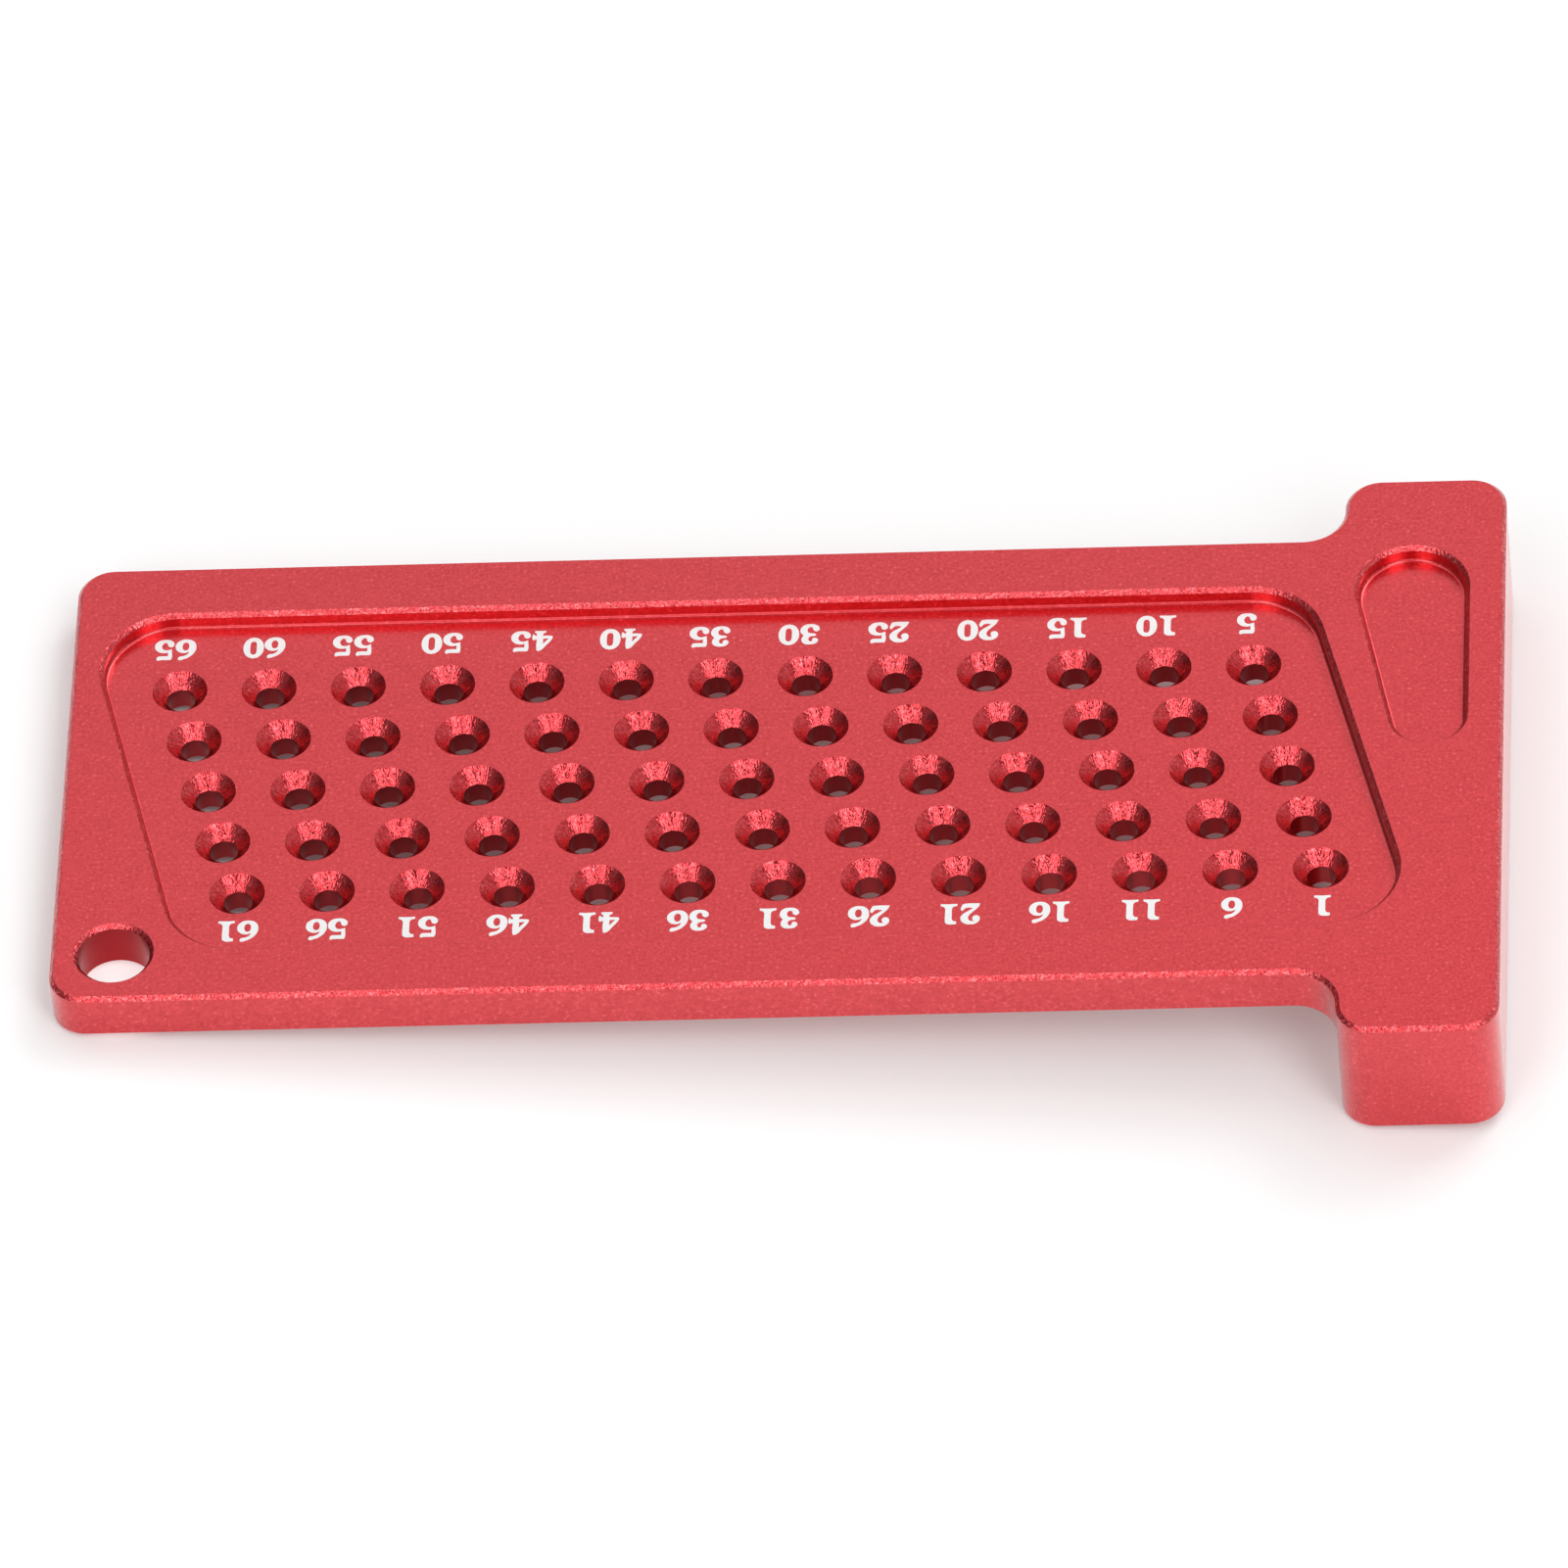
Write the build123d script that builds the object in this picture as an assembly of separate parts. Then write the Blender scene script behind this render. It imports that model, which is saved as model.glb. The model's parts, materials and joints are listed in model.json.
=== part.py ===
from build123d import *
import os

# Hole marking gauge, in millimetres. A thin blade lies on the board and a thick fence bears on
# its edge. A pencil point set in hole N draws a line N mm from that edge as the gauge slides.
#
# X runs along the blade, away from the fence, and X = 0 is the working face of the fence.
# Y runs along the fence, and Y = 0 is the middle of the blade.
# Z = 0 is the underside of the blade, where it lies on the board.

# Pencil holes: each is one step further out than the last, in slanted columns
hole_pitch = 1.0
hole_count = 65
holes_per_column = 5
row_pitch = 3.9
pencil_hole_diameter = 1.6
countersink_diameter = 3.1
countersink_angle = 90.0

# Sunk field that holds the pencil holes and their numerals
field_depth = 1.0
field_end_margin = 4.15
field_side_margin = 4.9
field_corner_radius = 4.0
floor_fillet = 0.2

# Blade
blade_thickness = 3.0
side_rail = 3.8
tip_margin = 6.0
tip_corner_radius = 2.0

# Fence
fence_thickness = 9.0
fence_drop = 5.0
fence_overhang = 4.5
fence_corner_radius = 2.0
sweep_flat = 0.1

# Thumb recess in the top of the fence, wide at one end and narrow at the other
thumb_depth = 1.0
thumb_wide_radius = 3.0
thumb_narrow_radius = 2.0
thumb_back_wall = 2.2
thumb_wide_end = 5.4
thumb_length = 14.8

# Hanging hole near one corner of the blade's tip
hanging_hole_diameter = 4.0
hanging_hole_margin = 3.5

# Small chamfer that breaks every outer edge
edge_break = 0.25

# Layout worked out from the sizes above
middle_row = (holes_per_column + 1) / 2
row_reach = (holes_per_column - 1) / 2 * row_pitch
slant = hole_pitch / row_pitch
field_half_width = row_reach + field_side_margin
blade_width = 2 * (field_half_width + side_rail)
blade_length = hole_count * hole_pitch + tip_margin
fence_length = blade_width + 2 * fence_overhang
sweep_radius = fence_overhang - fence_corner_radius - sweep_flat
field_floor = blade_thickness - field_depth


def hole_position(number):
    """Centre of a pencil hole: its number in steps from the fence, rows from +Y to -Y."""
    row = (number - 1) % holes_per_column
    return (number * hole_pitch, row_reach - row * row_pitch)


def slanted_x(step, y):
    """X, at height y on the face, of a line parallel to the columns that crosses Y = 0 at step."""
    return step - slant * y


def body_outline():
    """The T seen from above: blade and fence, with a sweep in each inner corner."""
    with BuildSketch() as outline:
        with Locations((blade_length / 2, 0)):
            Rectangle(blade_length, blade_width)
        tip = outline.vertices().group_by(Axis.X)[-1]
        fillet(tip, tip_corner_radius)
        add(fence_outline())
        inner_corners = outline.vertices().filter_by(
            lambda v: abs(v.X) < sweep_flat / 2 and abs(v.Y) < (blade_width + sweep_flat) / 2
        )
        fillet(inner_corners, sweep_radius)
    return outline.sketch


def fence_outline():
    """The fence seen from above, with its working face on X = 0."""
    with BuildSketch() as outline:
        with Locations((-fence_thickness / 2, 0)):
            RectangleRounded(fence_thickness, fence_length, fence_corner_radius)
    return outline.sketch


def field_outline():
    """The sunk field: its ends lean with the columns of holes."""
    first_column = middle_row * hole_pitch - field_end_margin
    last_column = (hole_count + 1 - middle_row) * hole_pitch + field_end_margin
    with BuildSketch() as outline:
        Polygon(
            (slanted_x(first_column, -field_half_width), -field_half_width),
            (slanted_x(last_column, -field_half_width), -field_half_width),
            (slanted_x(last_column, field_half_width), field_half_width),
            (slanted_x(first_column, field_half_width), field_half_width),
            align=None,
        )
        fillet(outline.vertices(), field_corner_radius)
    return outline.sketch


def thumb_outline():
    """The thumb recess: two circles and their tangents, with one straight side along the fence."""
    back_side = -fence_thickness + thumb_back_wall
    wide_y = -fence_length / 2 + thumb_wide_end + thumb_wide_radius
    narrow_y = wide_y - thumb_wide_radius + thumb_length - thumb_narrow_radius
    with BuildSketch() as outline:
        with Locations((back_side + thumb_wide_radius, wide_y)):
            Circle(thumb_wide_radius)
        with Locations((back_side + thumb_narrow_radius, narrow_y)):
            Circle(thumb_narrow_radius)
        make_hull()
    return outline.sketch


def recess(outline, depth):
    """Solid that a round-nosed cutter sweeps: the outline, down to a floor with soft edges."""
    with BuildPart() as cutter:
        with BuildSketch(Plane.XY.offset(blade_thickness)):
            add(outline)
        extrude(amount=-depth)
        fillet(cutter.faces().sort_by(Axis.Z)[0].edges(), floor_fillet)
    return cutter.part


def build_gauge():
    hole_positions = [hole_position(number) for number in range(1, hole_count + 1)]
    hanging_hole = (blade_length - hanging_hole_margin, blade_width / 2 - hanging_hole_margin)

    with BuildPart() as gauge:
        # Plate of the whole T, then the fence that hangs below it
        with BuildSketch():
            add(body_outline())
        extrude(amount=blade_thickness)
        with Locations(hanging_hole):
            Hole(hanging_hole_diameter / 2)
        chamfer(gauge.faces().sort_by(Axis.Z)[0].edges(), edge_break)

        with BuildSketch(Plane.XY.offset(-fence_drop)):
            add(fence_outline())
        extrude(amount=fence_drop + blade_thickness)
        chamfer(gauge.faces().sort_by(Axis.Z)[0].edges(), edge_break)

        # Sunk field and thumb recess, then a broken edge round every rim of the top face
        add(recess(field_outline(), field_depth), mode=Mode.SUBTRACT)
        add(recess(thumb_outline(), thumb_depth), mode=Mode.SUBTRACT)
        top_face = gauge.faces().filter_by(Axis.Z).sort_by(Axis.Z)[-1]
        chamfer(top_face.edges(), edge_break)

        # Countersunk pencil holes, drilled from the floor of the field
        with Locations(Plane.XY.offset(field_floor)):
            with Locations(*hole_positions):
                CounterSinkHole(
                    pencil_hole_diameter / 2,
                    countersink_diameter / 2,
                    depth=field_floor,
                    counter_sink_angle=countersink_angle,
                )

    return gauge.part


if __name__ == "__main__":
    os.makedirs("parts", exist_ok=True)
    export_step(build_gauge(), "parts/gauge_body.step")
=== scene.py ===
import json
import math
from types import SimpleNamespace

import bpy
from bpy.props import FloatProperty, FloatVectorProperty, PointerProperty
from bpy.types import Operator, Panel, PropertyGroup
from mathutils import Matrix, Vector

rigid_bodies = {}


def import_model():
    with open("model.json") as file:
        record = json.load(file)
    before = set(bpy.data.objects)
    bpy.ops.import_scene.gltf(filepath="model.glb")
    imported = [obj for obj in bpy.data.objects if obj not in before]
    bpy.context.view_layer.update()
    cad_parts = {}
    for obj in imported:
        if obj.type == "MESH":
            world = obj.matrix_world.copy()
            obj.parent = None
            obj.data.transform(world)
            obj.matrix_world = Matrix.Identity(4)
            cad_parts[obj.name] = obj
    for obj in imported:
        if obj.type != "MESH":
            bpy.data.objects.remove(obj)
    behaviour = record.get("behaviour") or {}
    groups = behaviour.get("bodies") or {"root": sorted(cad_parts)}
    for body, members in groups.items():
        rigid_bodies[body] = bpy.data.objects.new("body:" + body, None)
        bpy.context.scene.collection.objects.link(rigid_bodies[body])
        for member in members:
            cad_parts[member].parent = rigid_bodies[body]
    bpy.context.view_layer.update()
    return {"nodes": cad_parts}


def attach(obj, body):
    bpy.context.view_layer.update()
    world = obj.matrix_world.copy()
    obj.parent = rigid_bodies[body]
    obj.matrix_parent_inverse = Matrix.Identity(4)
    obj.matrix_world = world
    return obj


bl_info = {
    "name": "Hole Marking Gauge",
    "version": (1, 0, 0),
    "blender": (4, 5, 0),
    "location": "3D View > Sidebar > Gauge",
    "description": "Anodised finish, printed numerals and studio for a hole marking gauge",
    "category": "Object",
}

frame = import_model()
GAUGE = "gauge_body"
BODY = "root"
MM = 0.001

# The gauge's own axes, in metres: X = 0 is the fence's working face, with the blade running to
# +X, and Z = 0 is the blade's underside. Holes are numbered outwards from the fence.
HOLE_PITCH = 1.0 * MM
ROW_PITCH = 3.9 * MM
ROWS = 5
HOLES = 65
FIRST_ROW = ROW_PITCH * (ROWS - 1) / 2
BORE_RADIUS = 0.8 * MM
CONE_RADIUS = 1.55 * MM
HANGING_HOLE = (67.5 * MM, 13.0 * MM, 0.0)
HANGING_RADIUS = 2.0 * MM
BLADE_TOP = 3.0 * MM
FIELD_FLOOR = 2.0 * MM
EDGE_BREAK = 0.25 * MM

# A face is told apart by its place, to within this much
MASK_EDGE = 0.01 * MM

# Nearly all values of a noise lie in this range
NOISE_RANGE = (0.3, 0.7)


# Helpers for shader and geometry nodes


def add_node(tree, kind, values=None, **settings):
    """Adds a node, sets its own settings by name, and its inputs by name or number."""
    node = tree.nodes.new(kind)
    for name, value in settings.items():
        setattr(node, name, value)
    for key, value in (values or {}).items():
        feed(tree, node.inputs[key], value)
    return node


def feed(tree, socket, value):
    """Links an output to the socket, or sets the socket's own value. A colour is three numbers."""
    if isinstance(value, bpy.types.NodeSocket):
        tree.links.new(value, socket)
    elif socket.type == "RGBA":
        socket.default_value = (*value, 1.0)
    else:
        socket.default_value = value


def maths(tree, operation, *values):
    """A math node's output. Values are numbers or outputs."""
    node = add_node(tree, "ShaderNodeMath", dict(enumerate(values)), operation=operation)
    return node.outputs[0]


def vector_maths(tree, operation, *values):
    """A vector math node's output, as a vector. Values are vectors or outputs."""
    node = add_node(tree, "ShaderNodeVectorMath", dict(enumerate(values)), operation=operation)
    return node.outputs["Vector"]


def measure(tree, operation, *values):
    """The length of a vector, or the distance between two, as a number."""
    node = add_node(tree, "ShaderNodeVectorMath", dict(enumerate(values)), operation=operation)
    return node.outputs["Value"]


def scaled(tree, vector, scale):
    """A vector output times a number."""
    node = add_node(tree, "ShaderNodeVectorMath", {0: vector, "Scale": scale}, operation="SCALE")
    return node.outputs["Vector"]


def combine(tree, x=0.0, y=0.0, z=0.0):
    """A vector from three numbers or outputs."""
    return add_node(tree, "ShaderNodeCombineXYZ", {"X": x, "Y": y, "Z": z}).outputs["Vector"]


def separate(tree, vector):
    """X, Y and Z of a vector output."""
    return add_node(tree, "ShaderNodeSeparateXYZ", {"Vector": vector}).outputs


def remap(tree, value, low, high, to_low=0.0, to_high=1.0, smooth=True):
    """Carries a value from one range to another, held at both ends."""
    node = add_node(
        tree,
        "ShaderNodeMapRange",
        {"Value": value, "From Min": low, "From Max": high, "To Min": to_low, "To Max": to_high},
        interpolation_type="SMOOTHSTEP" if smooth else "LINEAR",
    )
    return node.outputs["Result"]


def hold(tree, value, low, high):
    """Keeps a value between two limits."""
    return maths(tree, "MINIMUM", maths(tree, "MAXIMUM", value, low), high)


def mix(tree, kind, factor, low, high):
    """Mixes two numbers, vectors or colours, each given as such or as an output."""
    node = add_node(tree, "ShaderNodeMix", {"Factor": factor, "A": low, "B": high}, data_type=kind)
    return node.outputs["Result"]


def noise(tree, place, size, detail=1.0, roughness=0.5):
    """Noise with features of a given size, as a value round 0.5."""
    node = add_node(
        tree,
        "ShaderNodeTexNoise",
        {"Vector": place, "Scale": 1.0 / size, "Detail": detail, "Roughness": roughness},
    )
    return node.outputs["Fac"]


def object_place(tree):
    """The place of a surface point on the gauge's own axes."""
    return add_node(tree, "ShaderNodeTexCoord").outputs["Object"]


def bump(tree, height, distance=1.0):
    """Normal of a surface whose height is given as a share of a distance in metres."""
    node = add_node(
        tree, "ShaderNodeBump", {"Height": height, "Strength": 1.0, "Distance": distance}
    )
    return node.outputs["Normal"]


def new_material(name):
    """An empty node material with its output."""
    material = bpy.data.materials.new(name)
    material.use_nodes = True
    material.node_tree.nodes.clear()
    output = material.node_tree.nodes.new("ShaderNodeOutputMaterial")
    return material, material.node_tree, output


# Red anodised finish

# Values of the grain's noise from its first thin specks of dye to its thinnest
GRAIN_TOPS = (0.64, 0.78)

# Values of the chatter's noise from the first worn marks to the most worn
CHATTER_RIDGES = (0.5, 0.75)


class GaugeFinish(PropertyGroup):
    """Colour and texture of the anodised, bead-blasted aluminium."""

    dark_colour: FloatVectorProperty(
        name="Dark dye",
        description="Colour of the dyed metal in the hollows of the grain",
        subtype="COLOR",
        size=3,
        min=0.0,
        max=1.0,
        default=(0.60, 0.020, 0.029),
    )
    light_colour: FloatVectorProperty(
        name="Light dye",
        description="Colour of the dyed metal on the tops of the grain",
        subtype="COLOR",
        size=3,
        min=0.0,
        max=1.0,
        default=(0.78, 0.050, 0.063),
    )
    roughness: FloatProperty(
        name="Blasted roughness",
        description="Roughness of the bead-blasted faces",
        subtype="FACTOR",
        min=0.0,
        max=1.0,
        default=0.34,
    )
    oxide: FloatProperty(
        name="Clear oxide",
        description="How far the clear oxide over the dye mirrors white, most of all at a low angle",
        subtype="FACTOR",
        min=0.0,
        max=1.0,
        default=1.0,
    )
    oxide_roughness: FloatProperty(
        name="Oxide roughness",
        description="Roughness of the clear oxide, as a share of the metal's",
        subtype="FACTOR",
        min=0.0,
        max=1.0,
        default=0.5,
    )
    oxide_ior: FloatProperty(
        name="Oxide index",
        description="Index of refraction of the clear oxide",
        min=1.0,
        default=1.5,
    )
    cut_roughness: FloatProperty(
        name="Cut roughness",
        description="Roughness of the cut cones",
        subtype="FACTOR",
        min=0.0,
        max=1.0,
        default=0.2,
    )
    grain_size: FloatProperty(
        name="Grain size",
        description="Width of the dimples left by blasting",
        subtype="DISTANCE",
        unit="LENGTH",
        default=0.2 * MM,
    )
    grain_depth: FloatProperty(
        name="Grain depth",
        description="Depth of the dimples left by blasting",
        subtype="DISTANCE",
        unit="LENGTH",
        default=0.004 * MM,
    )
    mottle_size: FloatProperty(
        name="Mottle size",
        description="Width of the faint patches of lighter and darker dye",
        subtype="DISTANCE",
        unit="LENGTH",
        default=0.8 * MM,
    )
    mottle: FloatProperty(
        name="Mottle",
        description="Share of the colour's unevenness that comes from the patches",
        subtype="FACTOR",
        min=0.0,
        max=1.0,
        default=0.2,
    )
    # Lighter colour for the specks: worn thin dye on the grain tops and broken edges, and painted
    # highlight speckle on the cone ridges.
    thin_dye_and_sparkle_colour: FloatVectorProperty(
        name="Thin dye",
        description="Colour of the specks where the dye is thin",
        subtype="COLOR",
        size=3,
        min=0.0,
        max=1.0,
        default=(0.88, 0.25, 0.27),
    )
    specks: FloatProperty(
        name="Specks",
        description="How thin the dye is on the few highest points of the grain",
        subtype="FACTOR",
        min=0.0,
        max=1.0,
        default=0.28,
    )
    # On the cone ridges these specks are painted highlight speckle as well as thinner dye. On the
    # broken edges (edge specks) they are worn thin dye.
    cut_specks: FloatProperty(
        name="Cut specks",
        description="How thin the dye is on the ridges of the cut cones",
        subtype="FACTOR",
        min=0.0,
        max=1.0,
        default=0.34,
    )
    edge_specks: FloatProperty(
        name="Edge specks",
        description="How thin the dye is on the high points of the broken edges",
        subtype="FACTOR",
        min=0.0,
        max=1.0,
        default=0.6,
    )
    cut_oxide: FloatProperty(
        name="Cut oxide",
        description="Share of the clear oxide's mirroring that is left on the cut cones",
        subtype="FACTOR",
        min=0.0,
        max=1.0,
        default=0.65,
    )
    # Painted shade: the bores are darkened in their colour, standing in for the shade down them.
    bore_shade: FloatProperty(
        name="Bore shade",
        description="Share of the dark dye's brightness that is left in the bores",
        subtype="FACTOR",
        min=0.0,
        max=1.0,
        default=0.85,
    )
    # Painted shade: the hanging hole is darkened in its colour, standing in for the shade in it.
    hanging_shade: FloatProperty(
        name="Hanging hole shade",
        description="Share of the dark dye's brightness that is left in the hanging hole",
        subtype="FACTOR",
        min=0.0,
        max=1.0,
        default=0.6,
    )
    hanging_oxide: FloatProperty(
        name="Hanging hole oxide",
        description="Share of the clear oxide's mirroring that is left in the hanging hole",
        subtype="FACTOR",
        min=0.0,
        max=1.0,
        default=0.2,
    )
    chatter_size: FloatProperty(
        name="Chatter size",
        description="Width of the marks in the cones and along the broken edges",
        subtype="DISTANCE",
        unit="LENGTH",
        default=0.16 * MM,
    )
    chatter_depth: FloatProperty(
        name="Chatter depth",
        description="Depth of the marks that the countersink left in the cones",
        subtype="DISTANCE",
        unit="LENGTH",
        default=0.033 * MM,
    )
    chatter_drift: FloatProperty(
        name="Chatter drift",
        description="How soon the marks in a cone change from its rim down to its bore",
        min=0.0,
        default=0.7,
    )
    cut_streak: FloatProperty(
        name="Cut streak",
        description="How far the cut cones draw a reflection out from rim to bore",
        subtype="FACTOR",
        min=0.0,
        max=1.0,
        default=0.8,
    )
    edge_rounding: FloatProperty(
        name="Edge rounding",
        description="How far blasting has rounded the broken edges, as four times the rise",
        subtype="DISTANCE",
        unit="LENGTH",
        default=0.06 * MM,
    )
    edge_wander: FloatProperty(
        name="Edge wander",
        description="Depth of the marks along the broken edges",
        subtype="DISTANCE",
        unit="LENGTH",
        default=0.06 * MM,
    )


def nearest_hole(tree, x, y):
    """X and Y of a surface point, measured from the axis of the nearest pencil hole."""
    from_first = maths(tree, "SUBTRACT", FIRST_ROW, y)
    row = maths(tree, "ROUND", maths(tree, "DIVIDE", from_first, ROW_PITCH))
    row = hold(tree, row, 0.0, ROWS - 1.0)
    steps_out = maths(tree, "DIVIDE", x, HOLE_PITCH)
    along = maths(tree, "SUBTRACT", steps_out, maths(tree, "ADD", row, 1.0))
    column = maths(tree, "ROUND", maths(tree, "DIVIDE", along, ROWS))
    column = hold(tree, column, 0.0, HOLES / ROWS - 1.0)
    aside = maths(tree, "MULTIPLY_ADD", column, -float(ROWS), along)
    aside = maths(tree, "MULTIPLY", aside, HOLE_PITCH)
    ahead = maths(tree, "ADD", maths(tree, "MULTIPLY_ADD", row, ROW_PITCH, y), -FIRST_ROW)
    return aside, ahead


def surface_zones(tree, place):
    """Where a surface point lies. A zone is 1 on its own faces and 0 on all others."""
    x, y, z = separate(tree, place)
    outward = combine(tree, *nearest_hole(tree, x, y))
    radius = measure(tree, "LENGTH", outward)
    in_hole = maths(tree, "LESS_THAN", radius, CONE_RADIUS + MASK_EDGE)
    past_bore = maths(tree, "GREATER_THAN", radius, BORE_RADIUS + MASK_EDGE)
    under_floor = maths(tree, "LESS_THAN", z, FIELD_FLOOR - MASK_EDGE)
    off_underside = maths(tree, "GREATER_THAN", z, MASK_EDGE)
    below = maths(tree, "MULTIPLY", under_floor, off_underside)
    hole = maths(tree, "MULTIPLY", in_hole, below)
    cone = maths(tree, "MULTIPLY", hole, past_bore)
    from_hanging = measure(tree, "DISTANCE", combine(tree, x, y), HANGING_HOLE)
    across = remap(tree, z, BLADE_TOP - EDGE_BREAK, BLADE_TOP, smooth=False)
    rounding = maths(tree, "MULTIPLY", across, maths(tree, "SUBTRACT", 1.0, across))
    return SimpleNamespace(
        outward=outward,
        cone=cone,
        bore=maths(tree, "SUBTRACT", hole, cone),
        hanging=maths(tree, "LESS_THAN", from_hanging, HANGING_RADIUS + MASK_EDGE),
        rounding=rounding,
        broken=maths(tree, "GREATER_THAN", rounding, 0.0),
    )


def chatter_marks(tree, finish, place, zones):
    """Noise of the cut marks. In a cone they run from its rim down towards its bore."""
    turned = vector_maths(tree, "NORMALIZE", zones.outward)
    turned = scaled(tree, turned, (BORE_RADIUS + CONE_RADIUS) / 2)
    turned = vector_maths(tree, "ADD", turned, scaled(tree, place, finish.chatter_drift))
    spot = mix(tree, "VECTOR", zones.cone, place, turned)
    return noise(tree, spot, finish.chatter_size)


def surface_height(tree, finish, zones, grain, chatter):
    """Height of the blasted grain, the cut marks and the rounding of the broken edges."""
    marks = maths(tree, "MULTIPLY", zones.cone, finish.chatter_depth)
    marks = maths(tree, "MULTIPLY_ADD", zones.broken, finish.edge_wander, marks)
    height = maths(tree, "MULTIPLY", grain, finish.grain_depth)
    height = maths(tree, "MULTIPLY_ADD", chatter, marks, height)
    return maths(tree, "MULTIPLY_ADD", zones.rounding, finish.edge_rounding, height)


def dye_colour(tree, finish, zones, grain, chatter, mottle):
    """Colour of the dyed metal: uneven and thin on high points, with lighter specks on the chatter
    ridges, and painted shade down the holes.
    """
    uneven = maths(tree, "MULTIPLY", grain, 1.0 - finish.mottle)
    uneven = maths(tree, "MULTIPLY_ADD", mottle, finish.mottle, uneven)
    lightness = remap(tree, uneven, *NOISE_RANGE, smooth=False)
    colour = mix(tree, "RGBA", lightness, finish.dark_colour, finish.light_colour)
    # Lighter specks on the chatter ridges: on the cones mostly painted highlight speckle, on the
    # broken edges worn thin dye.
    sparkle_and_wear_strength = maths(tree, "MULTIPLY", zones.cone, finish.cut_specks)
    sparkle_and_wear_strength = maths(tree, "MULTIPLY_ADD", zones.broken, finish.edge_specks, sparkle_and_wear_strength)
    ridge_sparkle_and_wear = maths(tree, "MULTIPLY", remap(tree, chatter, *CHATTER_RIDGES), sparkle_and_wear_strength)
    specks = maths(tree, "ADD", remap(tree, grain, *GRAIN_TOPS, 0.0, finish.specks), ridge_sparkle_and_wear)
    colour = mix(tree, "RGBA", specks, colour, finish.thin_dye_and_sparkle_colour)
    # Painted shade: the bores and the hanging hole take a darker copy of the dark dye.
    for zone, shade in ((zones.bore, finish.bore_shade), (zones.hanging, finish.hanging_shade)):
        colour = mix(tree, "RGBA", zone, colour, [shade * part for part in finish.dark_colour])
    return colour


def anodised_material(finish):
    """Red anodised aluminium: bead-blasted faces, cut cones with chatter and uneven broken edges."""
    material, tree, output = new_material("red anodised aluminium")
    place = object_place(tree)
    zones = surface_zones(tree, place)
    grain = noise(tree, place, finish.grain_size)
    chatter = chatter_marks(tree, finish, place, zones)
    mottle = noise(tree, place, finish.mottle_size)
    normal = bump(tree, surface_height(tree, finish, zones, grain, chatter))
    roughness = mix(tree, "FLOAT", zones.cone, finish.roughness, finish.cut_roughness)
    oxide = maths(tree, "MULTIPLY_ADD", zones.cone, finish.cut_oxide - 1.0, 1.0)
    oxide = maths(tree, "MULTIPLY_ADD", zones.hanging, finish.hanging_oxide - 1.0, oxide)
    surface = add_node(
        tree,
        "ShaderNodeBsdfPrincipled",
        {
            "Base Color": dye_colour(tree, finish, zones, grain, chatter, mottle),
            "Metallic": 1.0,
            "Roughness": roughness,
            "Normal": normal,
            "Anisotropic": maths(tree, "MULTIPLY", zones.cone, finish.cut_streak),
            "Tangent": zones.outward,
            "Coat Weight": maths(tree, "MULTIPLY", oxide, finish.oxide),
            "Coat Roughness": maths(tree, "MULTIPLY", roughness, finish.oxide_roughness),
            "Coat IOR": finish.oxide_ior,
            "Coat Normal": normal,
        },
    )
    tree.links.new(surface.outputs["BSDF"], output.inputs["Surface"])
    return material


class GAUGE_OT_anodised_finish(Operator):
    """Give the gauge its red anodised finish"""

    bl_idname = "gauge.anodised_finish"
    bl_label = "Anodised Finish"

    def execute(self, context):
        material = anodised_material(context.scene.gauge_finish)
        for slot in frame["nodes"][GAUGE].material_slots:
            slot.material = material
        return {"FINISHED"}


# Printed numerals

# Surface of the marking: the size and depth of its unevenness, and what it does to tone and gloss
MARKING_GRAIN = 0.12 * MM
MARKING_DEPTH = 0.004 * MM
MARKING_TONES = (0.93, 1.03)
MARKING_METAL = 0.8
MARKING_ROUGHNESS = (0.32, 0.42)

# Steps in which a figure's outline goes from one of its points to the next
OUTLINE_STEPS = 5


def oval(x, y, half_width, half_height):
    """Four points of an upright oval."""
    return [(x + half_width, y), (x, y + half_height), (x - half_width, y), (x, y - half_height)]


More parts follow.
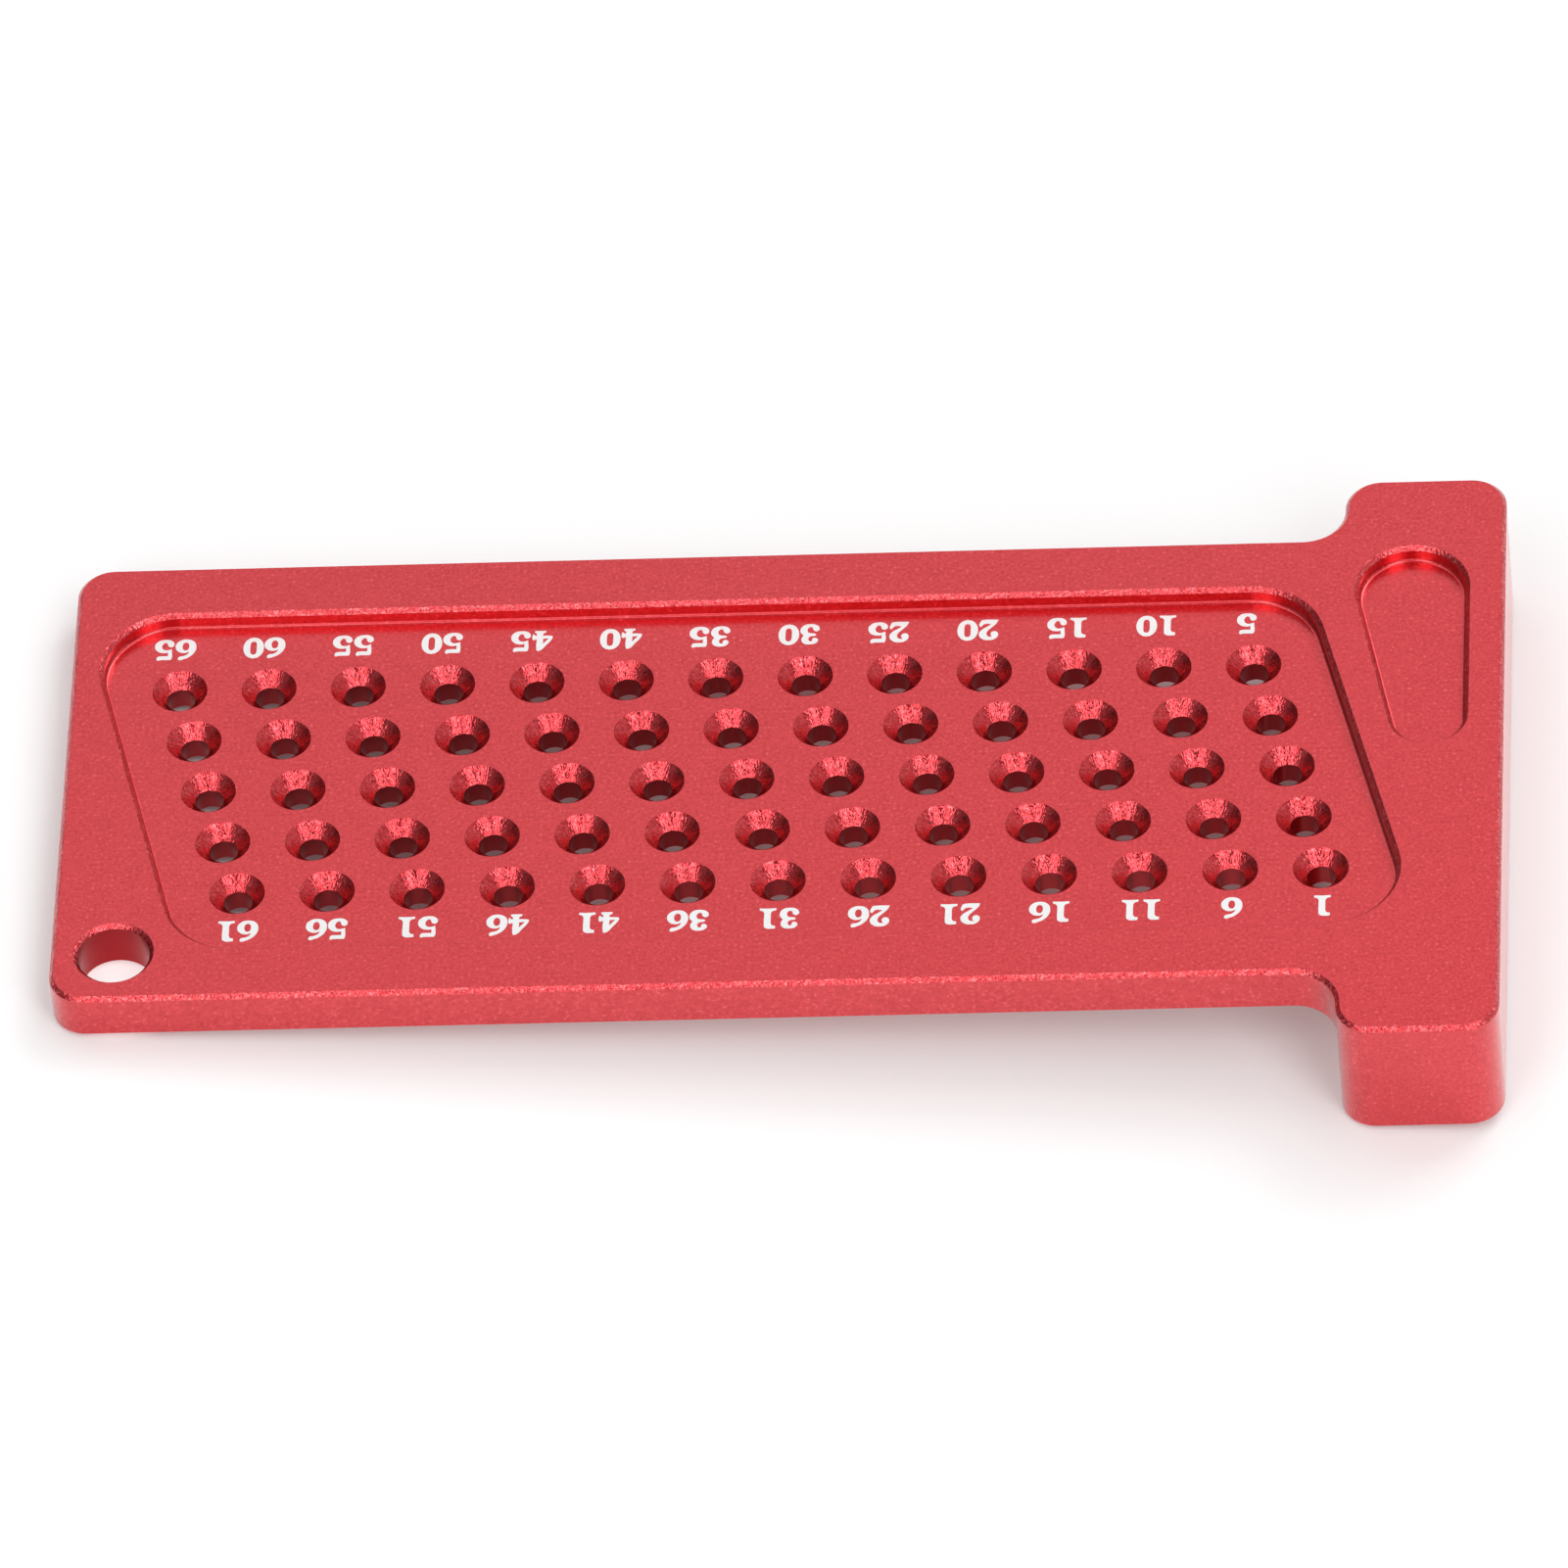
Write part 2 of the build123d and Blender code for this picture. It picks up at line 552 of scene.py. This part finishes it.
# Outlines of the figures 0 to 6, bold with serifs, drawn 155 units high from a baseline at 0
# and centred on 0. A point is smooth unless it is marked sharp.
SHARP = "sharp"
FIGURE_HEIGHT = 155.0
FIGURES = (
    [oval(0, 78, 58, 80), oval(1, 79, 18, 51)],
    [
        [
            (-43, 0, SHARP), (0, 2), (46, 0, SHARP), (47, 13), (32, 21), (23, 34),
            (22, 55), (22, 120), (19, 142), (5, 153), (-15, 155), (-40, 153, SHARP),
            (-41, 133, SHARP), (-24, 128), (-16, 114), (-15, 95), (-15, 55), (-16, 34),
            (-25, 21), (-44, 13),
        ],
    ],
    [
        [
            (-52, 0, SHARP), (28, 0), (42, 4), (51, 22), (55, 45), (46, 53), (37, 43),
            (28, 33), (5, 30), (-12, 35, SHARP), (10, 53), (40, 76), (56, 108), (40, 144),
            (0, 157), (-37, 145), (-52, 114), (-43, 93), (-25, 89), (-11, 103), (-12, 119),
            (-19, 131, SHARP), (0, 130), (13, 112), (8, 87), (-14, 60), (-42, 26),
        ],
    ],
    [
        [
            (-45, 126), (-33, 147), (2, 156), (36, 146), (48, 115), (36, 86, SHARP),
            (52, 65), (54, 38), (36, 9), (0, -1), (-36, 8), (-52, 33), (-46, 51),
            (-31, 55), (-17, 43), (-13, 27), (-2, 22), (9, 29), (15, 48), (8, 65),
            (-8, 71), (-26, 73), (-34, 81), (-26, 90), (-8, 92), (6, 102), (8, 121),
            (-2, 133), (-12, 127), (-14, 113), (-27, 106), (-41, 113),
        ],
    ],
    [
        [
            (-19, 0, SHARP), (42, 0, SHARP), (43, 12), (34, 20), (31, 38, SHARP), (41, 36),
            (50, 27), (56, 42), (56, 62), (49, 71), (40, 67), (31, 66, SHARP), (31, 138),
            (26, 154), (12, 153), (-22, 112), (-55, 60), (-56, 44), (-44, 40),
            (-2, 38, SHARP), (-6, 20), (-19, 12),
        ],
        [(-35, 59, SHARP), (-4, 61, SHARP), (-4, 101, SHARP), (-17, 84)],
    ],
    [
        [
            (-41, 146), (-35, 154), (-20, 155), (22, 155), (38, 158), (43, 149), (35, 129),
            (22, 126), (-20, 126, SHARP), (-20, 98, SHARP), (5, 101), (38, 88), (56, 52),
            (40, 13), (0, -1), (-38, 8), (-53, 33), (-46, 52), (-31, 56), (-18, 45),
            (-14, 29), (-3, 22), (8, 30), (16, 52), (8, 73), (-9, 81), (-27, 77),
            (-40, 72, SHARP),
        ],
    ],
    [
        [
            (38, 157), (8, 151), (-26, 131), (-50, 98), (-58, 58), (-44, 17), (0, -1),
            (42, 15), (59, 54), (44, 90), (10, 104), (-20, 94, SHARP), (-12, 112),
            (8, 126), (34, 133), (41, 143),
        ],
        oval(1, 54, 19, 31),
    ],
)


class GaugeNumerals(PropertyGroup):
    """Size and place of the printed numerals."""

    figure_height: FloatProperty(
        name="Figure height",
        description="Height of a figure",
        subtype="DISTANCE",
        unit="LENGTH",
        default=1.55 * MM,
    )
    figure_pitch: FloatProperty(
        name="Figure pitch",
        description="From one figure to the next in a number",
        subtype="DISTANCE",
        unit="LENGTH",
        default=1.19 * MM,
    )
    upper_baseline: FloatProperty(
        name="Upper baseline",
        description="Y of the feet of the numbers 1, 6, 11 and so on",
        subtype="DISTANCE",
        unit="LENGTH",
        default=9.89 * MM,
    )
    lower_baseline: FloatProperty(
        name="Lower baseline",
        description="Y of the feet of the numbers 5, 10, 15 and so on",
        subtype="DISTANCE",
        unit="LENGTH",
        default=-11.79 * MM,
    )
    upper_shift: FloatProperty(
        name="Upper shift",
        description="How far a number in the upper row stands beyond its hole, along X",
        subtype="DISTANCE",
        unit="LENGTH",
        default=-0.14 * MM,
    )
    lower_shift: FloatProperty(
        name="Lower shift",
        description="How far a number in the lower row stands beyond its hole, along X",
        subtype="DISTANCE",
        unit="LENGTH",
        default=0.43 * MM,
    )
    relief: FloatProperty(
        name="Relief",
        description="Thickness of the marking above the floor of the field",
        subtype="DISTANCE",
        unit="LENGTH",
        default=0.012 * MM,
    )
    colour: FloatVectorProperty(
        name="Marking colour",
        description="Colour of the marking",
        subtype="COLOR",
        size=3,
        min=0.0,
        max=1.0,
        default=(0.93, 0.93, 0.93),
    )


def figure_mesh(name, outlines, scale, relief):
    """A figure as a thin plate that stands on Z = 0, from smooth closed outlines."""
    curve = bpy.data.curves.new(name, "CURVE")
    curve.dimensions = "2D"
    curve.fill_mode = "BOTH"
    curve.resolution_u = OUTLINE_STEPS
    curve.extrude = relief / 2
    for outline in outlines:
        spline = curve.splines.new("BEZIER")
        spline.bezier_points.add(len(outline) - 1)
        spline.use_cyclic_u = True
        for point, (x, y, *corner) in zip(spline.bezier_points, outline):
            point.co = (x * scale, y * scale, 0.0)
            point.handle_left_type = point.handle_right_type = "VECTOR" if corner else "AUTO"
    holder = bpy.data.objects.new(name, curve)
    bpy.context.collection.objects.link(holder)
    depsgraph = bpy.context.evaluated_depsgraph_get()
    mesh = bpy.data.meshes.new_from_object(holder.evaluated_get(depsgraph))
    mesh.transform(Matrix.Translation((0.0, 0.0, relief / 2)))
    bpy.data.objects.remove(holder)
    bpy.data.curves.remove(curve)
    return mesh


def number_places(tree, given):
    """One point for each number of the row, on the floor of the field."""
    step = maths(tree, "MULTIPLY", given["Number Step"], given["Hole Pitch"])
    first = maths(tree, "MULTIPLY", given["First Number"], given["Hole Pitch"])
    start = maths(tree, "ADD", first, given["Shift"])
    line = add_node(
        tree,
        "GeometryNodeMeshLine",
        {
            "Count": given["Count"],
            "Start Location": combine(tree, start, given["Baseline"], given["Floor"]),
            "Offset": combine(tree, step),
        },
    )
    return line.outputs["Mesh"]


def number_figures(tree, given):
    """Units and tens of a point's number, and 1 where it has tens."""
    index = tree.nodes.new("GeometryNodeInputIndex").outputs["Index"]
    number = maths(tree, "MULTIPLY_ADD", index, given["Number Step"], given["First Number"])
    tens = maths(tree, "FLOOR", maths(tree, "DIVIDE", number, 10.0))
    units = maths(tree, "MULTIPLY_ADD", tens, -10.0, number)
    return units, tens, maths(tree, "GREATER_THAN", tens, 0.5)


def figures_at(tree, places, figures, figure, aside, wanted=True):
    """A figure at each wanted place, moved aside along X. Figure is its index in the collection."""
    moved = add_node(
        tree, "GeometryNodeSetPosition", {"Geometry": places, "Offset": combine(tree, aside)}
    )
    placed = add_node(
        tree,
        "GeometryNodeInstanceOnPoints",
        {
            "Points": moved.outputs["Geometry"],
            "Selection": wanted,
            "Instance": figures,
            "Pick Instance": True,
            "Instance Index": figure,
        },
    )
    return placed.outputs["Instances"]


NUMERAL_INPUTS = (
    ("Figures", "Collection"),
    ("Count", "Int"),
    ("First Number", "Int"),
    ("Number Step", "Int"),
    ("Hole Pitch", "Float"),
    ("Baseline", "Float"),
    ("Shift", "Float"),
    ("Floor", "Float"),
    ("Figure Pitch", "Float"),
    ("Marking", "Material"),
)


def numeral_tree():
    """Geometry Nodes tree that sets out one row of numbers, two figures to a number."""
    tree = bpy.data.node_groups.new("row of numbers", "GeometryNodeTree")
    tree.interface.new_socket("Geometry", in_out="OUTPUT", socket_type="NodeSocketGeometry")
    for name, kind in NUMERAL_INPUTS:
        tree.interface.new_socket(name, in_out="INPUT", socket_type="NodeSocket" + kind)
    given = tree.nodes.new("NodeGroupInput").outputs
    places = number_places(tree, given)
    units, tens, has_tens = number_figures(tree, given)
    half_pitch = maths(tree, "MULTIPLY", given["Figure Pitch"], 0.5)
    right = maths(tree, "MULTIPLY", half_pitch, has_tens)
    left = maths(tree, "MULTIPLY", right, -1.0)
    figures = add_node(
        tree,
        "GeometryNodeCollectionInfo",
        {"Collection": given["Figures"], "Separate Children": True, "Reset Children": True},
    ).outputs["Instances"]
    joined = tree.nodes.new("GeometryNodeJoinGeometry")
    for instances in (
        figures_at(tree, places, figures, units, right),
        figures_at(tree, places, figures, tens, left, has_tens),
    ):
        tree.links.new(instances, joined.inputs["Geometry"])
    real = add_node(
        tree, "GeometryNodeRealizeInstances", {"Geometry": joined.outputs["Geometry"]}
    )
    marked = add_node(
        tree,
        "GeometryNodeSetMaterial",
        {"Geometry": real.outputs["Geometry"], "Material": given["Marking"]},
    )
    output = tree.nodes.new("NodeGroupOutput")
    tree.links.new(marked.outputs["Geometry"], output.inputs["Geometry"])
    return tree


def mesh_from_tree(name, tree, inputs):
    """Runs a Geometry Nodes tree with the named inputs and keeps its result as a plain mesh."""
    piece = bpy.data.objects.new(name, bpy.data.meshes.new(name))
    bpy.context.collection.objects.link(piece)
    modifier = piece.modifiers.new("tree", "NODES")
    modifier.node_group = tree
    for socket in tree.interface.items_tree:
        if socket.in_out == "INPUT":
            modifier[socket.identifier] = inputs[socket.name]
    bpy.context.view_layer.update()
    depsgraph = bpy.context.evaluated_depsgraph_get()
    mesh = bpy.data.meshes.new_from_object(piece.evaluated_get(depsgraph))
    mesh.name = name
    piece.modifiers.remove(modifier)
    piece.data = mesh
    return piece


def marking_material(numerals):
    """White marking, a little uneven, on the blasted floor of the field."""
    material, tree, output = new_material("white marking")
    mottle = noise(tree, object_place(tree), MARKING_GRAIN, detail=3.0, roughness=0.6)
    tones = [[tone * part for part in numerals.colour] for tone in MARKING_TONES]
    surface = add_node(
        tree,
        "ShaderNodeBsdfPrincipled",
        {
            "Base Color": mix(tree, "RGBA", mottle, *tones),
            "Metallic": MARKING_METAL,
            "Roughness": remap(tree, mottle, *NOISE_RANGE, *MARKING_ROUGHNESS),
            "Normal": bump(tree, mottle, MARKING_DEPTH),
        },
    )
    tree.links.new(surface.outputs["BSDF"], output.inputs["Surface"])
    return material


def figure_collection(numerals):
    """The figures 0 to 6 as thin plates, in a collection that sorts them by name."""
    figures = bpy.data.collections.new("figures")
    scale = numerals.figure_height / FIGURE_HEIGHT
    for digit, outlines in enumerate(FIGURES):
        name = f"figure_{digit}"
        mesh = figure_mesh(name, outlines, scale, numerals.relief)
        figures.objects.link(bpy.data.objects.new(name, mesh))
    return figures


class GAUGE_OT_numerals(Operator):
    """Print the hole numbers along both sides of the field"""

    bl_idname = "gauge.numerals"
    bl_label = "Numerals"

    def execute(self, context):
        numerals = context.scene.gauge_numerals
        figures = figure_collection(numerals)
        tree = numeral_tree()
        marking = marking_material(numerals)
        rows = (
            ("numerals_1_to_61", 1, numerals.upper_baseline, numerals.upper_shift),
            ("numerals_5_to_65", ROWS, numerals.lower_baseline, numerals.lower_shift),
        )
        for name, first, baseline, shift in rows:
            inputs = {
                "Figures": figures,
                "Count": HOLES // ROWS,
                "First Number": first,
                "Number Step": ROWS,
                "Hole Pitch": HOLE_PITCH,
                "Baseline": baseline,
                "Shift": shift,
                "Floor": FIELD_FLOOR,
                "Figure Pitch": numerals.figure_pitch,
                "Marking": marking,
            }
            piece = mesh_from_tree(name, tree, inputs)
            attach(piece, BODY)
        for figure in list(figures.objects):
            bpy.data.objects.remove(figure)
        bpy.data.collections.remove(figures)
        return {"FINISHED"}


# Studio

# Width of the sensor that the focal length is meant for, in the same unit
SENSOR_WIDTH = 36.0

# The fence's lower edge is told by its height, to within this much. The blade's underside is
# looked for from this far beyond it.
EDGE_REACH = 0.01 * MM
BLADE_REACH = 1.0 * MM

# Corners of the floor that shows through the pencil holes, where painted shade lies, in X and Y
SHADED_FLOOR = ((0.0, -14.0 * MM), (68.0 * MM, FIRST_ROW + 1.8 * MM))


class GaugeStudio(PropertyGroup):
    """Camera, lamps and floor."""

    lens: FloatProperty(
        name="Focal length",
        description="Lens of the camera, on a sensor 36 mm wide",
        subtype="DISTANCE_CAMERA",
        default=496.06,
    )
    turn: FloatProperty(
        name="Camera turn",
        description="Direction in which the camera looks, clockwise from +Y, seen from above",
        subtype="ANGLE",
        unit="ROTATION",
        default=math.radians(178.078),
    )
    height: FloatProperty(
        name="Camera height",
        description="Angle of the camera above the floor",
        subtype="ANGLE",
        unit="ROTATION",
        default=math.radians(46.555),
    )
    distance: FloatProperty(
        name="Camera distance",
        description="From the camera to the point that it looks at",
        subtype="DISTANCE",
        unit="LENGTH",
        default=1.19613,
    )
    aim: FloatVectorProperty(
        name="Aim",
        description="Point on the top of the blade that the camera looks at",
        subtype="TRANSLATION",
        size=3,
        unit="LENGTH",
        default=(30.81 * MM, 1.404 * MM, BLADE_TOP),
    )
    surround: FloatProperty(
        name="Surround",
        description="Strength of the even light from all round",
        min=0.0,
        default=0.08,
    )
    floor_size: FloatProperty(
        name="Floor size",
        description="Side of the square floor",
        subtype="DISTANCE",
        unit="LENGTH",
        default=6.0,
    )
    floor_colour: FloatVectorProperty(
        name="Floor colour",
        description="Colour of the pale floor",
        subtype="COLOR",
        size=3,
        min=0.0,
        max=1.0,
        default=(0.8, 0.8, 0.8),
    )
    floor_glow: FloatProperty(
        name="Floor glow",
        description="Strength that the floor gains where a ray looks at it",
        min=0.0,
        default=0.16,
    )
    # Painted shade: the floor's glow is cut down under the pencil holes.
    floor_shade: FloatProperty(
        name="Floor shade",
        description="Share of the glow that is left under the pencil holes",
        subtype="FACTOR",
        min=0.0,
        max=1.0,
        default=0.35,
    )
    # Painted light: the floor's glow is raised right under the hanging hole.
    hanging_glow: FloatProperty(
        name="Glow under the hanging hole",
        description="How many times stronger the floor's glow is right under the hanging hole",
        min=0.0,
        default=3.5,
    )
    shade_width: FloatProperty(
        name="Shade width",
        description="How far the shade under the pencil holes takes to fade",
        subtype="DISTANCE",
        unit="LENGTH",
        default=2.0 * MM,
    )


def resting_plane():
    """Pivot and rotation of the floor: the fence's lower edge and the blade's tip both touch it."""
    points = [vertex.co for vertex in frame["nodes"][GAUGE].data.vertices]
    lowest = min(point.z for point in points)
    edge = max(point.x for point in points if point.z < lowest + EDGE_REACH)
    blade = [point for point in points if point.x > edge + BLADE_REACH]
    rise = min(math.atan2(point.z - lowest, point.x - edge) for point in blade)
    return Vector((edge, 0.0, lowest)), Matrix.Rotation(-rise, 4, "Y")


def add_camera(studio, level):
    """A camera that stands level over the floor."""
    data = bpy.data.cameras.new("camera")
    data.lens = studio.lens
    data.sensor_width = SENSOR_WIDTH
    camera = bpy.data.objects.new("camera", data)
    bpy.context.collection.objects.link(camera)
    turn = level @ Matrix.Rotation(-studio.turn, 4, "Z")
    turn = turn @ Matrix.Rotation(math.pi / 2 - studio.height, 4, "X")
    back = turn.to_3x3() @ Vector((0.0, 0.0, studio.distance))
    camera.matrix_world = Matrix.Translation(Vector(studio.aim) + back) @ turn
    bpy.context.scene.camera = camera


def add_floor(studio, pivot, level):
    """A pale floor that meets the gauge where it rests. Seen from below, it isn't there."""
    half = studio.floor_size / 2
    mesh = bpy.data.meshes.new("floor")
    corners = [(-half, -half, 0.0), (half, -half, 0.0), (half, half, 0.0), (-half, half, 0.0)]
    mesh.from_pydata(corners, [], [(0, 1, 2, 3)])
    mesh.transform(Matrix.Translation(pivot) @ level)
    floor = bpy.data.objects.new("floor", mesh)
    bpy.context.collection.objects.link(floor)
    mesh.materials.append(floor_material(studio))


def seen_as_background(tree):
    """1 for a ray that looks at the background: straight, in a mirror or through glass."""
    path = add_node(tree, "ShaderNodeLightPath").outputs
    seen = maths(tree, "MAXIMUM", path["Is Camera Ray"], path["Is Glossy Ray"])
    return maths(tree, "MAXIMUM", seen, path["Is Transmission Ray"])


def under_holes(tree, place, fade):
    """1 on the floor that shows through the pencil holes, falling to 0 round it."""
    axes = separate(tree, place)
    inside = 1.0
    for corner, side in zip(SHADED_FLOOR, (1.0, -1.0)):
        for axis, bound in enumerate(corner):
            edge = remap(tree, axes[axis], bound, bound + side * fade)
            inside = maths(tree, "MULTIPLY", inside, edge)
    return inside


def glow_strength(tree, studio):
    """Strength of the floor's glow: less under the pencil holes, as painted shade, and more under
    the hanging hole, as painted light.
    """
    place = object_place(tree)
    holes = under_holes(tree, place, studio.shade_width)
    shaded = studio.floor_glow * studio.floor_shade
    glow = remap(tree, holes, 0.0, 1.0, studio.floor_glow, shaded)
    from_hanging = measure(tree, "DISTANCE", place, HANGING_HOLE)
    fade = (HANGING_RADIUS, 2 * HANGING_RADIUS)
    return maths(tree, "MULTIPLY", glow, remap(tree, from_hanging, *fade, studio.hanging_glow, 1.0))


def floor_material(studio):
    """Matt pale floor. Its glow is only for rays that look at it, and keeps the shadow. The glow is
    weaker under the pencil holes, which is painted shade, and stronger under the hanging hole, which
    is painted light.
    """
    material, tree, output = new_material("pale floor")
    matt = add_node(tree, "ShaderNodeBsdfDiffuse", {"Color": studio.floor_colour})
    strength = maths(tree, "MULTIPLY", seen_as_background(tree), glow_strength(tree, studio))
    glow = add_node(tree, "ShaderNodeEmission", {"Strength": strength})
    lit = add_node(
        tree, "ShaderNodeAddShader", {0: matt.outputs["BSDF"], 1: glow.outputs["Emission"]}
    )
    clear = add_node(tree, "ShaderNodeBsdfTransparent")
    behind = add_node(tree, "ShaderNodeNewGeometry").outputs["Backfacing"]
    sides = add_node(
        tree,
        "ShaderNodeMixShader",
        {0: behind, 1: lit.outputs["Shader"], 2: clear.outputs["BSDF"]},
    )
    tree.links.new(sides.outputs["Shader"], output.inputs["Surface"])
    return material


# Softboxes, each at the same distance from the middle of the gauge and facing it
STUDIO_MIDDLE = (31.0 * MM, 0.0, BLADE_TOP)
SOFTBOX_DISTANCE = 1.0
SOFTBOXES = (
    # name, radiance, degrees clockwise from +Y, degrees above the level, width and depth in metres
    ("left", 0.3, 74, 40, 0.5, 0.7),
    ("front left", 2.9, 26, 42, 0.4, 0.8),
    ("front right", 3.5, -37, 42, 0.38, 0.8),
    ("right", 0.62, -89, 36, 0.62, 0.7),
    ("rear right", 4.5, -140, 42, 0.5, 0.4),
    ("rear", 0.78, 162, 42, 1.2, 0.4),
    ("low front", 1.85, 0, 9, 1.1, 0.36),
    ("low right", 0.8, -107, 7, 1.4, 0.36),
    ("high rear", 1.25, 180, 66, 0.7, 0.4),
    ("overhead right", 1.4, -90, 70, 0.8, 0.4),
    ("overhead left", 1.2, 90, 70, 0.8, 0.4),
)


def add_softbox(name, radiance, azimuth, height, width, depth):
    """One softbox. Its power is what gives its face the radiance."""
    data = bpy.data.lights.new(name, "AREA")
    data.shape = "RECTANGLE"
    data.size = width
    data.size_y = depth
    data.energy = radiance * math.pi * width * depth
    lamp = bpy.data.objects.new(name, data)
    bpy.context.collection.objects.link(lamp)
    turn, rise = math.radians(azimuth), math.radians(height)
    reach = math.cos(rise)
    away = Vector((math.sin(turn) * reach, math.cos(turn) * reach, math.sin(rise)))
    lamp.location = Vector(STUDIO_MIDDLE) + SOFTBOX_DISTANCE * away
    lamp.rotation_euler = away.to_track_quat("Z", "Y").to_euler()


def set_world(studio):
    """Even pale light from all round, and white where a ray looks past the floor."""
    world = bpy.data.worlds.new("studio")
    world.use_nodes = True
    tree = world.node_tree
    tree.nodes.clear()
    output = tree.nodes.new("ShaderNodeOutputWorld")
    seen = add_node(tree, "ShaderNodeLightPath").outputs["Is Camera Ray"]
    strength = mix(tree, "FLOAT", seen, studio.surround, 1.0)
    light = add_node(
        tree, "ShaderNodeBackground", {"Color": (1.0, 1.0, 1.0), "Strength": strength}
    )
    tree.links.new(light.outputs["Background"], output.inputs["Surface"])
    bpy.context.scene.world = world


class GAUGE_OT_studio(Operator):
    """Set up the floor, the soft lights and the camera"""

    bl_idname = "gauge.studio"
    bl_label = "Studio"

    def execute(self, context):
        studio = context.scene.gauge_studio
        pivot, level = resting_plane()
        add_floor(studio, pivot, level)
        set_world(studio)
        for softbox in SOFTBOXES:
            add_softbox(*softbox)
        add_camera(studio, level)
        context.scene.view_settings.view_transform = "Standard"
        return {"FINISHED"}


# Add-on


class GAUGE_PT_panel(Panel):
    """Sizes, colours and buttons of the hole marking gauge"""

    bl_idname = "GAUGE_PT_panel"
    bl_label = "Hole Marking Gauge"
    bl_space_type = "VIEW_3D"
    bl_region_type = "UI"
    bl_category = "Gauge"

    def draw(self, context):
        for group, operator in PARTS:
            box = self.layout.box()
            settings = getattr(context.scene, group)
            for name in settings.bl_rna.properties.keys():
                if name not in ("rna_type", "name"):
                    box.prop(settings, name)
            box.operator(operator)


PARTS = (
    ("gauge_finish", "gauge.anodised_finish"),
    ("gauge_numerals", "gauge.numerals"),
    ("gauge_studio", "gauge.studio"),
)
GROUPS = {
    "gauge_finish": GaugeFinish,
    "gauge_numerals": GaugeNumerals,
    "gauge_studio": GaugeStudio,
}
CLASSES = (
    *GROUPS.values(),
    GAUGE_OT_anodised_finish,
    GAUGE_OT_numerals,
    GAUGE_OT_studio,
    GAUGE_PT_panel,
)


def register():
    """Adds the classes and their settings to Blender."""
    for item in CLASSES:
        bpy.utils.register_class(item)
    for name, group in GROUPS.items():
        setattr(bpy.types.Scene, name, PointerProperty(type=group))


def unregister():
    """Takes the settings and the classes out again."""
    for name in GROUPS:
        delattr(bpy.types.Scene, name)
    for item in reversed(CLASSES):
        bpy.utils.unregister_class(item)


def main():
    """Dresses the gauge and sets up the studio."""
    register()
    bpy.ops.gauge.anodised_finish()
    bpy.ops.gauge.numerals()
    bpy.ops.gauge.studio()
    bpy.context.view_layer.update()


if __name__ == "__main__":
    main()
